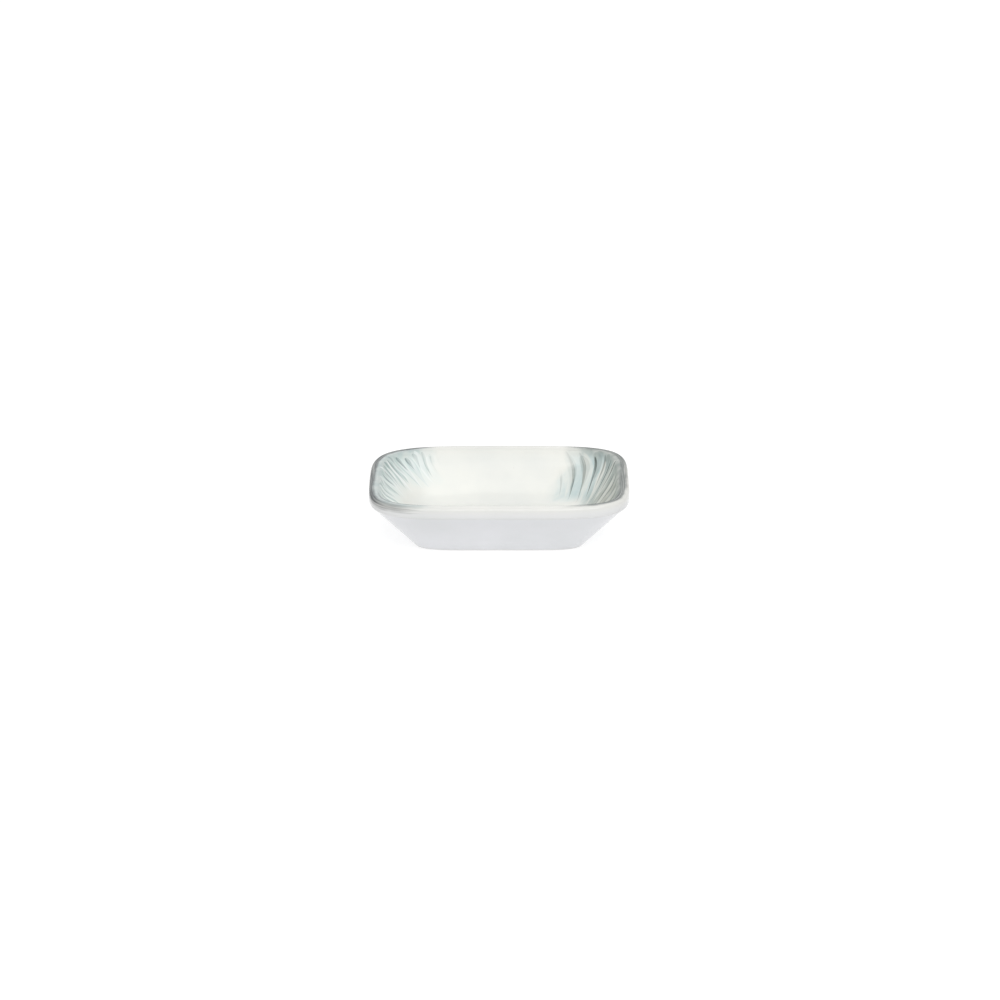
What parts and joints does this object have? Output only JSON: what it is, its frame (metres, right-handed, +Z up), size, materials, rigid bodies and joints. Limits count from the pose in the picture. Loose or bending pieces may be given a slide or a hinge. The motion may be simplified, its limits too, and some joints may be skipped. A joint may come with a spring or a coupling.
{
  "type": "rectangular serving dish",
  "caption": "Small deep rectangular porcelain dish with rounded corners, flared walls, a thick upright lip and a foot ring, glazed, with fired colour at both ends.",
  "frame": {"origin": "middle of the foot, on the table", "axes": "+X along the dish towards the end with the grey colour, +Y across it, +Z up"},
  "size_m": [0.0852, 0.06, 0.0205],
  "materials": {
    "bisque_porcelain": "bare fired porcelain, fine matt grain",
    "white_glaze": "glossy cool white glaze",
    "cream_glaze": "glossy cream white glaze",
    "teal_colour": "pale teal fired colour, glossy",
    "grey_colour": "grey-green fired colour, glossy",
    "line_colour": "dark teal-grey brushed line, glossy"
  },
  "bodies": {
    "root": {"porcelain_body": "bisque_porcelain", "underside_glaze": "white_glaze", "outer_glaze": "white_glaze", "inner_glaze": "cream_glaze", "left_end_print": "teal_colour", "right_end_print": "grey_colour", "left_edge_line": "line_colour", "right_edge_line": "line_colour"}
  },
  "joints": []
}
